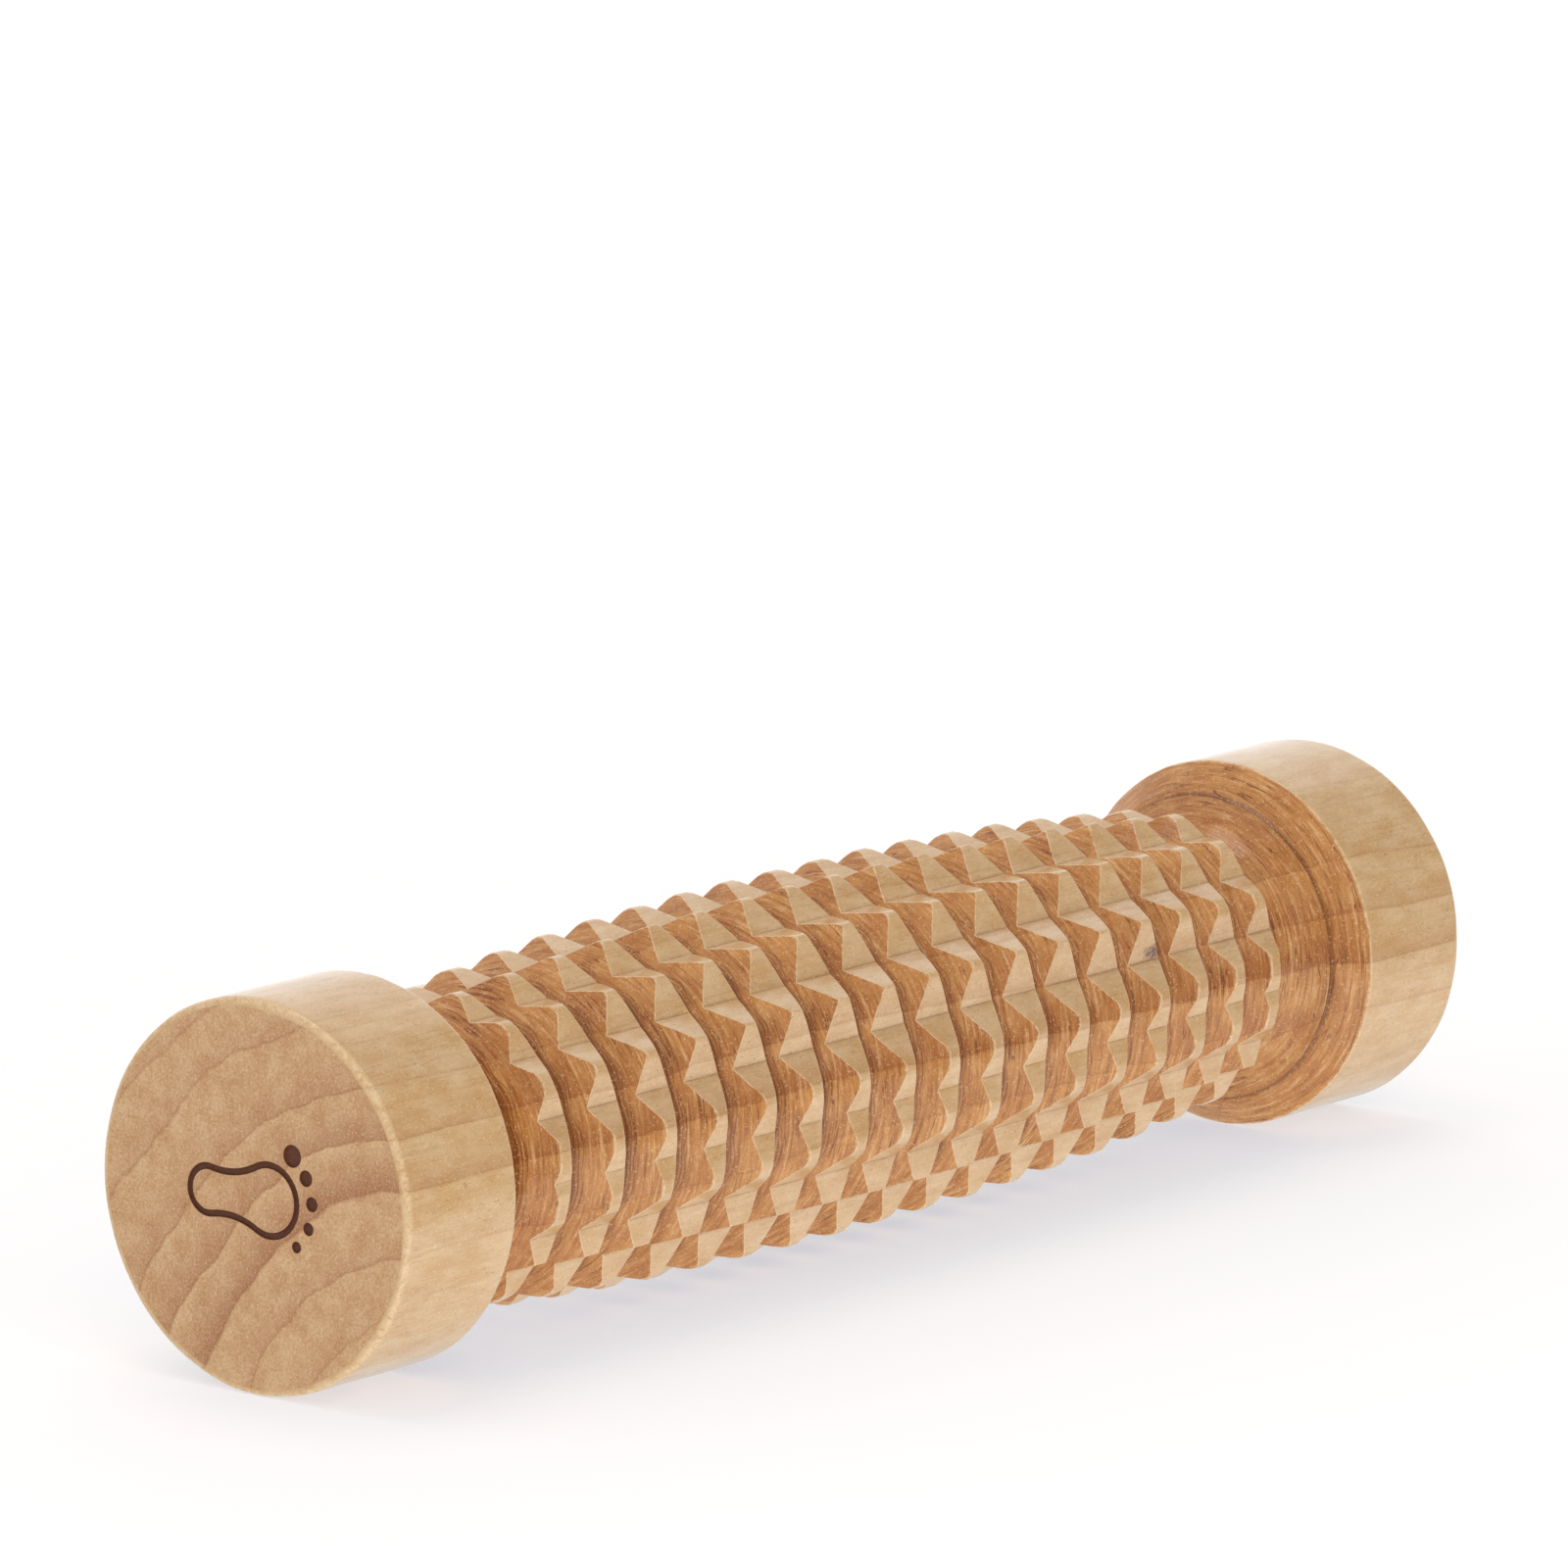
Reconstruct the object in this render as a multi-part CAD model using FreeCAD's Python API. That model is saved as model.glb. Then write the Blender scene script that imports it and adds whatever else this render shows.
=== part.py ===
import FreeCAD, Part
import math
import os

# Wooden foot massage roller, turned from one blank. Millimetres.
# The roller's axis is X, the engraved end is at -X, and +Z is up.
# The origin is the middle of the roller, on its axis.

# Driving dimensions: the turned blank
LENGTH = 220.0
CAP_DIAMETER = 50.4
CAP_LENGTH = 20.4
CAP_RIM_ROUND = 1.2
SHOULDER_LENGTH = 3.2
SHOULDER_DIAMETER = 42.4
STEP_LENGTH = 1.0
STEP_DIAMETER = 39.0
NECK_DIAMETER = 31.4
NECK_LENGTH = 0.5

# Driving dimensions: the massage rings
RING_COUNT = 17
RING_PITCH = 9.28
RING_LAND = 2.0
MIDDLE_RING_DIAMETER = 48.2
END_RING_DROP = 3.5
BARREL_POWER = 2.5
RING_HEIGHT = 3.9
VALLEY_LAND = 0.4
OUTER_FLANK_ANGLE = 54.0

# Driving dimensions: the flutes, V cuts that run along the rings
FLUTE_COUNT = 15
NARROW_GAP_ANGLE = 18.2
FIRST_FLUTE_ANGLE = -28.9
FLUTE_PATH_RADIUS = 1030.0
FLUTE_CLEARANCE = 3.0
# Each kind of cut: its depth in the middle ring and half of its V angle
FLUTE_CUTS = {"deep": (2.7, 65.0), "medium": (1.8, 68.0), "shallow": (1.4, 72.0)}
SHALLOW_FLUTES = (1,)
MEDIUM_FLUTES = (6, 13)

# Driving dimensions: the engraved footprint on the -X end face
MARK_DEPTH = 0.3
MARK_STROKE = 0.9
SOLE_LENGTH = 17.5
HEEL_DIAMETER = 6.0
BALL_DIAMETER = 9.0
WAIST_RADIUS = 11.0
TOE_DIAMETERS = (2.9, 2.1, 1.9, 1.7, 1.5)
TOE_GAP = 2.0
TOE_SPREAD_ANGLE = 27.0
BIG_TOE_ANGLE = 58.0
# How far the sole's middle is from the face's, towards the heel, so that sole and toes are centred
MARK_SHIFT = 1.7

# Derived sizes
HALF_LENGTH = LENGTH / 2
CAP_RADIUS = CAP_DIAMETER / 2
NECK_RADIUS = NECK_DIAMETER / 2
MIDDLE_RING = (RING_COUNT - 1) / 2
REGULAR_GAP_ANGLE = (360.0 - NARROW_GAP_ANGLE) / (FLUTE_COUNT - 1)


def ring_radius(ring):
    """Crest radius on the barrel line, at a ring number or between two."""
    offset = abs(ring - MIDDLE_RING) / MIDDLE_RING
    return MIDDLE_RING_DIAMETER / 2 - END_RING_DROP * offset ** BARREL_POWER


def ring_centre(ring):
    """Place of a ring's crest along the axis."""
    return (ring - MIDDLE_RING) * RING_PITCH


def neck_end():
    """Where the neck ends and the outer flank of the last ring starts."""
    crest_edge = -ring_centre(0) + RING_LAND / 2
    flank_rise = ring_radius(0) - NECK_RADIUS
    flank_run = flank_rise / math.tan(math.radians(OUTER_FLANK_ANGLE))
    return crest_edge + flank_run


def profile_point(x, radius):
    return FreeCAD.Vector(x, 0, radius)


def end_profile(side):
    """Edges of one end, from the face's centre to the last ring's crest."""
    shoulder = HALF_LENGTH - CAP_LENGTH
    step = shoulder - SHOULDER_LENGTH
    cove = step - STEP_LENGTH
    neck = neck_end() + NECK_LENGTH
    rise = STEP_DIAMETER / 2 - NECK_RADIUS
    run = cove - neck
    cove_radius = (run ** 2 + rise ** 2) / (2 * rise)
    turn = math.asin(run / cove_radius) / 2
    cove_middle = profile_point(
        side * (neck + cove_radius * math.sin(turn)),
        NECK_RADIUS + cove_radius * (1 - math.cos(turn)),
    )
    round_inset = CAP_RIM_ROUND * (1 - math.sqrt(0.5))
    rim_start = profile_point(side * HALF_LENGTH, CAP_RADIUS - CAP_RIM_ROUND)
    rim_middle = profile_point(side * (HALF_LENGTH - round_inset), CAP_RADIUS - round_inset)
    rim_end = profile_point(side * (HALF_LENGTH - CAP_RIM_ROUND), CAP_RADIUS)
    cap_inner = profile_point(side * shoulder, CAP_RADIUS)
    shoulder_end = profile_point(side * step, SHOULDER_DIAMETER / 2)
    step_end = profile_point(side * cove, STEP_DIAMETER / 2)
    neck_start = profile_point(side * neck, NECK_RADIUS)
    flank_start = profile_point(side * neck_end(), NECK_RADIUS)
    crest_edge = profile_point(side * (-ring_centre(0) + RING_LAND / 2), ring_radius(0))
    return [
        Part.LineSegment(profile_point(side * HALF_LENGTH, 0), rim_start),
        Part.Arc(rim_start, rim_middle, rim_end),
        Part.LineSegment(rim_end, cap_inner),
        Part.LineSegment(cap_inner, shoulder_end),
        Part.LineSegment(shoulder_end, step_end),
        Part.Arc(step_end, cove_middle, neck_start),
        Part.LineSegment(neck_start, flank_start),
        Part.LineSegment(flank_start, crest_edge),
    ]


def ring_profile():
    """Corner points of all the rings, from the -X ring to the +X ring."""
    points = []
    for ring in range(RING_COUNT):
        centre = ring_centre(ring)
        crest = ring_radius(ring)
        points.append(profile_point(centre - RING_LAND / 2, crest))
        points.append(profile_point(centre + RING_LAND / 2, crest))
        if ring < RING_COUNT - 1:
            valley = centre + RING_PITCH / 2
            floor = ring_radius(ring + 0.5) - RING_HEIGHT
            points.append(profile_point(valley - VALLEY_LAND / 2, floor))
            points.append(profile_point(valley + VALLEY_LAND / 2, floor))
    return points


def turned_blank():
    """The blank as it leaves the lathe, before its flutes are cut."""
    corners = ring_profile()
    curves = end_profile(-1)
    for start, end in zip(corners, corners[1:]):
        curves.append(Part.LineSegment(start, end))
    curves.extend(end_profile(1))
    axis = Part.LineSegment(profile_point(-HALF_LENGTH, 0), profile_point(HALF_LENGTH, 0))
    edges = [curve.toShape() for curve in curves + [axis]]
    outline = Part.Wire(Part.__sortEdges__(edges))
    face = Part.Face(outline)
    return face.revolve(FreeCAD.Vector(0, 0, 0), FreeCAD.Vector(1, 0, 0), 360)


def flute_angles():
    """Angles from -Y towards +Z. The narrow gap closes the circle."""
    return [FIRST_FLUTE_ANGLE + flute * REGULAR_GAP_ANGLE for flute in range(FLUTE_COUNT)]


def flute_kind(flute):
    """The cuts weren't all made to the same depth."""
    if flute in SHALLOW_FLUTES:
        return "shallow"
    if flute in MEDIUM_FLUTES:
        return "medium"
    return "deep"


def flute_cutter(angle, depth, half_angle):
    """A V that is swept along a shallow arc, deepest under the middle ring."""
    bottom = MIDDLE_RING_DIAMETER / 2 - depth
    top = CAP_RADIUS + FLUTE_CLEARANCE
    half_width = (top - bottom) * math.tan(math.radians(half_angle))
    section = Part.makePolygon([
        FreeCAD.Vector(0, -bottom, 0),
        FreeCAD.Vector(0, -top, half_width),
        FreeCAD.Vector(0, -top, -half_width),
        FreeCAD.Vector(0, -bottom, 0),
    ])
    half_run = neck_end() + NECK_LENGTH
    half_sweep = math.degrees(math.asin(half_run / FLUTE_PATH_RADIUS))
    path_centre = FreeCAD.Vector(0, FLUTE_PATH_RADIUS - bottom, 0)
    face = Part.Face(section)
    face.rotate(path_centre, FreeCAD.Vector(0, 0, 1), -half_sweep)
    cutter = face.revolve(path_centre, FreeCAD.Vector(0, 0, 1), 2 * half_sweep)
    cutter.rotate(FreeCAD.Vector(0, 0, 0), FreeCAD.Vector(1, 0, 0), -angle)
    return cutter


def flute_cutters():
    return [
        flute_cutter(angle, *FLUTE_CUTS[flute_kind(flute)])
        for flute, angle in enumerate(flute_angles())
    ]


def mark_point(along, up):
    """A point on the -X end face. Along runs from the sole's middle towards the toes."""
    return FreeCAD.Vector(-HALF_LENGTH, MARK_SHIFT - along, up)


def sole_outline(offset):
    """The sole: heel and ball circles joined by two hollow waist arcs."""
    heel = HEEL_DIAMETER / 2 + offset
    ball = BALL_DIAMETER / 2 + offset
    waist = WAIST_RADIUS - offset
    heel_along = -SOLE_LENGTH / 2 + HEEL_DIAMETER / 2
    ball_along = SOLE_LENGTH / 2 - BALL_DIAMETER / 2
    span = ball_along - heel_along
    heel_reach = heel + waist
    ball_reach = ball + waist
    waist_run = (heel_reach ** 2 - ball_reach ** 2 + span ** 2) / (2 * span)
    waist_up = math.sqrt(heel_reach ** 2 - waist_run ** 2)
    waist_along = heel_along + waist_run
    heel_tangent = (heel_along + waist_run * heel / heel_reach, waist_up * heel / heel_reach)
    ball_tangent = (
        ball_along + (waist_along - ball_along) * ball / ball_reach,
        waist_up * ball / ball_reach,
    )
    waist_middle = (waist_along, waist_up - waist)
    edges = [
        arc_through(heel_tangent, (heel_along - heel, 0), mirrored(heel_tangent)),
        arc_through(mirrored(heel_tangent), mirrored(waist_middle), mirrored(ball_tangent)),
        arc_through(mirrored(ball_tangent), (ball_along + ball, 0), ball_tangent),
        arc_through(ball_tangent, waist_middle, heel_tangent),
    ]
    return Part.Wire(edges)


def mirrored(point):
    return (point[0], -point[1])


def arc_through(start, middle, end):
    return Part.Arc(mark_point(*start), mark_point(*middle), mark_point(*end)).toShape()


def toe_prints():
    """Round prints on an arc round the ball, from the big toe to the small one."""
    ball_along = SOLE_LENGTH / 2 - BALL_DIAMETER / 2
    discs = []
    for toe, diameter in enumerate(TOE_DIAMETERS):
        angle = math.radians(BIG_TOE_ANGLE - toe * TOE_SPREAD_ANGLE)
        reach = BALL_DIAMETER / 2 + TOE_GAP + diameter / 4
        centre = mark_point(ball_along + reach * math.cos(angle), reach * math.sin(angle))
        disc = Part.makeCylinder(diameter / 2, MARK_DEPTH, centre, FreeCAD.Vector(1, 0, 0))
        discs.append(disc)
    return discs


def footprint_cutters():
    """The sole's outline as a band of constant width, and the toes."""
    depth = FreeCAD.Vector(MARK_DEPTH, 0, 0)
    outer = Part.Face(sole_outline(MARK_STROKE / 2)).extrude(depth)
    inner = Part.Face(sole_outline(-MARK_STROKE / 2)).extrude(depth)
    return [outer.cut(inner)] + toe_prints()


def roller():
    """The finished piece: turned, fluted and engraved."""
    body = turned_blank()
    body = body.cut(flute_cutters())
    return body.cut(footprint_cutters())


os.makedirs("parts", exist_ok=True)
roller().exportStep("parts/massage_roller.step")
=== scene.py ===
import math

import bpy
import numpy as np
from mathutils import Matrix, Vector
from mathutils.geometry import delaunay_2d_cdt


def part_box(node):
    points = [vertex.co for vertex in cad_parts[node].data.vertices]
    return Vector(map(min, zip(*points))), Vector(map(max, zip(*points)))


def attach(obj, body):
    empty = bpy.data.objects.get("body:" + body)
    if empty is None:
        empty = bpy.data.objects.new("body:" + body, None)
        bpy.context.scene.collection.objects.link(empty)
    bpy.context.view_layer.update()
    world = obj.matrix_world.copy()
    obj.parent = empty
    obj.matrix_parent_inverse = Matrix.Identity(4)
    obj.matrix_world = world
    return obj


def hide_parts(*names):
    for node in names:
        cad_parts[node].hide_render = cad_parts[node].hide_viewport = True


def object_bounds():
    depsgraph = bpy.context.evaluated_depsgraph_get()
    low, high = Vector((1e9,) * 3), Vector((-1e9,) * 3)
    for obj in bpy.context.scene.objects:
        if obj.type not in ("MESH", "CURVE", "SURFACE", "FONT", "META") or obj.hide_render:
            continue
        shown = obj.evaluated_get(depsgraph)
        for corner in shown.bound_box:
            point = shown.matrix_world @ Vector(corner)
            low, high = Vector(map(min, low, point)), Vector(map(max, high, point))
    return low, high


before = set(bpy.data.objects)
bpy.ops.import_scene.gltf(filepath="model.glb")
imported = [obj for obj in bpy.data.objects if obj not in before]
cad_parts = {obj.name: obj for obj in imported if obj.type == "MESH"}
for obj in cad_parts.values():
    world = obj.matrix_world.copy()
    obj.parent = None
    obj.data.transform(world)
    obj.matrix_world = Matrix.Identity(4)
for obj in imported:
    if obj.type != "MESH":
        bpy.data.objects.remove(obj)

cad_low, cad_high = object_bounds()
box_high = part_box("massage_roller")[1]

# Lengths of the roller are millimetres until its mesh is made. The stage, lights and camera are in metres.
MM = 0.001
RANDOM = np.random.default_rng(17)

# The turned blank
HALF_LENGTH = box_high.x / MM
CAP_RADIUS = box_high.z / MM - 0.02
CAP_LENGTH = 20.4
RIM_ROUND = 1.0
SHOULDER_LENGTH = 3.2
SHOULDER_RADIUS = 21.2
STEP_LENGTH = 1.0
STEP_RADIUS = 19.5
NECK_RADIUS = 15.7
NECK_LENGTH = 0.5

# The massage rings
RING_COUNT = 17
RING_PITCH = 9.28
RING_LAND = 2.0
MIDDLE_RING_RADIUS = 24.1
END_RING_DROP = 3.5
BARREL_POWER = 2.5
RING_HEIGHT = 3.9
VALLEY_LAND = 0.4
OUTER_FLANK_ANGLE = 54.0

# The flutes: kind is (depth in the middle ring, half of the V angle)
FLUTE_COUNT = 15
NARROW_GAP_ANGLE = 18.2
FIRST_FLUTE_ANGLE = -28.9
FLUTE_PATH_RADIUS = 1030.0
FLUTE_KINDS = {"deep": (2.7, 65.0), "medium": (1.8, 68.0), "shallow": (1.4, 72.0)}
SHALLOW_FLUTES = (1,)
MEDIUM_FLUTES = (6, 13)
LEAST_LAND_ANGLE = 0.6
LEAST_REACH_ANGLE = 1.0
# Beyond this spread a flute's plane runs out to nothing, and counts as a far radius
LEAST_SPREAD = 0.2
FAR_RADIUS = 99.0

# Worn edges: the rounding of a flute's planes and of the crests, and how they pass into each other
PLANE_EDGE_ROUND = 0.13
CREST_EDGE_ROUND = 0.3
CREST_FADE = 0.35
CREST_BLEND = 0.26
CREST_BLEND_ANGLE = 1.0
CAP_EDGE_WEAR = 0.35

# Hand work on the flutes: how far each wave moves the bottom line or turns it, and its length over 2 pi
BOTTOM_WAVES = ((0.07, 21.0), (0.05, 7.3))
ANGLE_WAVES = ((0.22, 26.0), (0.12, 6.1))

# Unevenness of the lathe work
RIM_UNEVENNESS = 0.3
CAP_EDGE_UNEVENNESS = 0.5
CAP_SWELL = 0.04
CAP_SINK = 0.05
TOP_UNEVENNESS = 0.02
EDGE_UNEVENNESS = 0.35
FLANK_UNEVENNESS = 0.05
VALLEY_UNEVENNESS = 0.06
RING_SHIFT = 0.1
CREST_SHIFT = 0.07
VALLEY_SHIFT = 0.12

# The engraved footprint
MARK_DEPTH = 0.3
MARK_STROKE = 0.9
MARK_WALL = 0.12
SOLE_LENGTH = 17.5
HEEL_RADIUS = 3.0
BALL_RADIUS = 4.5
WAIST_RADIUS = 11.0
TOE_DIAMETERS = (2.9, 2.1, 1.9, 1.7, 1.5)
TOE_GAP = 2.0
TOE_SPREAD_ANGLE = 27.0
BIG_TOE_ANGLE = 58.0
# How far the sole's middle is from the face's, towards the heel
MARK_SHIFT = 1.7

# Kinds of surface, kept as a number on each face
PLAIN, TURNED, END_GRAIN, BURNT = 0, 1, 2, 3

MIDDLE_RING = (RING_COUNT - 1) / 2

# The mesh's columns, as parts of a flute's plane, and its rows, as parts of a flank and of a rounded edge
PLANE_STEPS = (0.28, 0.56, 0.8)
GAP_COLUMNS = 2 * len(PLANE_STEPS) + 6
COLUMN_COUNT = GAP_COLUMNS * FLUTE_COUNT
FLANK_STEPS = (0.0, 0.07, 0.22, 0.42, 0.62, 0.8, 0.93)
EDGE_STEPS = (0.0, 0.25, 0.5, 0.75, 1.0)
# Edges steeper than this stay sharp, and large faces lead the shading round them
SHARP_ANGLE = 34.0
AREA_WEIGHT = 60

# The growth rings' centre line, off the roller's side, and how it drifts
PITH_Y = -32.7
PITH_Z = -40.5
PITH_DRIFT = -0.012
# Growth ring edges: distance from the centre line, darkness of the line, and of the band behind it
RING_EDGES = (
    (29.0, 0.6, 0.25),
    (36.2, 0.7, 0.3),
    (43.6, 1.0, 0.8),
    (50.6, 0.9, 0.6),
    (57.4, 0.75, 0.45),
    (66.6, 0.7, 0.3),
    (73.0, 0.6, 0.25),
)
RING_SPAN = (25.0, 80.0)

# A small dark knot in one of the flutes
KNOT_PLACE = (48.4, -19.8, 7.9)

# The floor's colour, and its glow near the roller and far from it. Together they look white in full
# light. In shadow the floor loses more red than blue, which evens out the wood's orange light there.
FLOOR_COLOUR = (0.85, 0.58, 0.44, 1.0)
NEAR_GLOW = (0.23, 0.455, 0.58, 1.0)
FAR_GLOW = (0.95, 0.95, 0.95, 1.0)
GLOW_REACH = (0.25, 1.6)
FLOOR_HALF_SIZE = 4.5
BACKDROP_RADIUS = 4.0
BACKDROP_HEIGHT = 8.0

# Brightness of the studio by direction
SIDE_SKY = 0.95
FRONT_SKY = 0.42
BACK_RIGHT_SKY = 1.25
TOP_SKY = 0.7
LIGHT_TABLE = 1.45
# Soft boxes: place, size and power
TOP_BOX = ((0.0, 0.2, 1.4), 0.8, 3.0)
FRONT_FILL = ((-0.8, -1.25, 0.55), 1.2, 9.0)

CAMERA_AZIMUTH = -51.2
CAMERA_ELEVATION = 10.9
CAMERA_DISTANCE = 1.5425
CAMERA_LENS = 271.6
CAMERA_SENSOR = 36.0
# Where the roller's middle is in the frame, from the frame's centre, as parts of its width
ROLLER_RIGHT = 0.0173
ROLLER_DOWN = 0.1702


# ---------------------------------------------------------------- turned shape

def barrel_radius(ring):
    """Crest radius at a ring number or between two. Outside the rings it stays level."""
    offset = np.minimum(np.abs(ring - MIDDLE_RING) / MIDDLE_RING, 1.0)
    return MIDDLE_RING_RADIUS - END_RING_DROP * offset ** BARREL_POWER


def ring_number(x):
    return x / RING_PITCH + MIDDLE_RING


def flute_sizes():
    """Angle, depth and half of the V angle, one row per flute."""
    regular_gap = (360.0 - NARROW_GAP_ANGLE) / (FLUTE_COUNT - 1)
    rows = []
    for flute in range(FLUTE_COUNT):
        kind = "deep"
        if flute in SHALLOW_FLUTES:
            kind = "shallow"
        if flute in MEDIUM_FLUTES:
            kind = "medium"
        depth, half_angle = FLUTE_KINDS[kind]
        rows.append((FIRST_FLUTE_ANGLE + flute * regular_gap, depth, half_angle))
    return rows


FLUTES = flute_sizes()
FLUTE_WAVES = RANDOM.uniform(0.0, 2 * math.pi, (FLUTE_COUNT, 4))


def hand_waves(waves, phases, x):
    """The sum of a few waves along the axis."""
    return sum(size * np.sin(x / length + phase) for (size, length), phase in zip(waves, phases))


def flute_bottom(flute, x):
    """Radius of a flute's bottom line. Each was cut by hand, so it waves a little."""
    level = MIDDLE_RING_RADIUS - FLUTES[flute][1]
    path = np.sqrt(FLUTE_PATH_RADIUS ** 2 - x ** 2) - (FLUTE_PATH_RADIUS - level)
    return path + hand_waves(BOTTOM_WAVES, FLUTE_WAVES[flute, :2], x)


def flute_direction(flute, x):
    """Angle of a flute's bottom line, in degrees from -Y towards +Z."""
    return FLUTES[flute][0] + hand_waves(ANGLE_WAVES, FLUTE_WAVES[flute, 2:], x)


def flute_reach(flute, x):
    """Half of the angle that a flute takes out of the crest."""
    half_angle = math.radians(FLUTES[flute][2])
    ratio = flute_bottom(flute, x) * math.sin(half_angle) / barrel_radius(ring_number(x))
    reach = np.degrees(np.arccos(np.clip(ratio, -1.0, 1.0))) - (90.0 - FLUTES[flute][2])
    return np.maximum(reach, LEAST_REACH_ANGLE)


def plane_radius(flute, theta, x):
    """Radius of a flute's two planes at an angle."""
    turn = np.radians(theta - flute_direction(flute, x))
    turn = (turn + math.pi) % (2 * math.pi) - math.pi
    slope = 1.0 / math.tan(math.radians(FLUTES[flute][2]))
    spread = np.cos(turn) - np.abs(np.sin(turn)) * slope
    radius = flute_bottom(flute, x) / np.maximum(spread, LEAST_SPREAD)
    return np.where(spread > LEAST_SPREAD, radius, FAR_RADIUS)


# ---------------------------------------------------------------- columns round the axis

def gap_columns(flute, x):
    """Angles from one flute's bottom up to just before the next one's, at a place along the axis."""
    after = (flute + 1) % FLUTE_COUNT
    start = flute_direction(flute, x)
    end = flute_direction(after, x) + (360.0 if after == 0 else 0.0)
    up = flute_reach(flute, x)
    down = flute_reach(after, x)
    room = end - start - LEAST_LAND_ANGLE
    squeeze = np.minimum(1.0, room / (up + down))
    up = up * squeeze
    down = down * squeeze
    blend = np.minimum(CREST_BLEND_ANGLE, 0.3 * (end - start - up - down))
    angles = [start]
    angles += [start + up * step for step in PLANE_STEPS]
    angles += [start + up - blend, start + up + blend]
    angles += [(start + up + end - down) / 2]
    angles += [end - down - blend, end - down + blend]
    angles += [end - down * step for step in reversed(PLANE_STEPS)]
    return angles


def column_angles(x):
    """All column angles at each place along the axis: an array of places by columns."""
    x = np.clip(np.atleast_1d(x), -MIDDLE_RING * RING_PITCH, MIDDLE_RING * RING_PITCH)
    angles = []
    for flute in range(FLUTE_COUNT):
        angles += gap_columns(flute, x)
    return np.stack(angles, axis=1)


def fluted_radius(theta, x):
    """The lowest flute plane at an angle, the same for all rows of a ring."""
    lowest = np.full(np.shape(theta), FAR_RADIUS)
    for flute in range(FLUTE_COUNT):
        lowest = np.minimum(lowest, plane_radius(flute, theta, x))
    return lowest


# ---------------------------------------------------------------- rows along the axis

class Rows:
    """Rows of the turned surface, from the -X end to the +X end."""

    def __init__(self):
        self.x = []
        self.radius = []
        self.theta = []
        # Weight of the pale edge colour: partly wear, partly a painted highlight along the edge.
        self.wear_and_highlight = []
        # How deep a row lies in a valley or groove. It sets the tool lines and the painted shade there.
        self.shade_depth = []
        self.crease = []
        self.kinds = []

    def add(self, x, radius, theta, kind, wear_and_highlight=0.0, shade_depth=0.0, crease=0.0):
        """One row. The kind is that of the strip between this row and the next."""
        ones = np.ones(COLUMN_COUNT)
        self.x.append(x * ones)
        self.radius.append(radius * ones)
        self.theta.append(theta * ones)
        self.wear_and_highlight.append(wear_and_highlight * ones)
        self.shade_depth.append(shade_depth * ones)
        self.crease.append(crease * ones)
        self.kinds.append(kind)


def bezier(before, corner, after, t):
    """A point on the round that replaces a corner."""
    return (1 - t) ** 2 * before + 2 * t * (1 - t) * corner + t ** 2 * after


def ripple(theta, waves, seed):
    """A wave round the roller that closes on itself, from -1 to 1."""
    phases = np.random.default_rng(seed).uniform(0.0, 2 * math.pi, len(waves))
    total = sum(np.sin(wave * np.radians(theta) + phase) for wave, phase in zip(waves, phases))
    return total / len(waves)


def end_ring_half_run():
    flank_rise = barrel_radius(0) - NECK_RADIUS
    flank_run = flank_rise / math.tan(math.radians(OUTER_FLANK_ANGLE))
    return MIDDLE_RING * RING_PITCH + RING_LAND / 2 + flank_run


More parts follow.
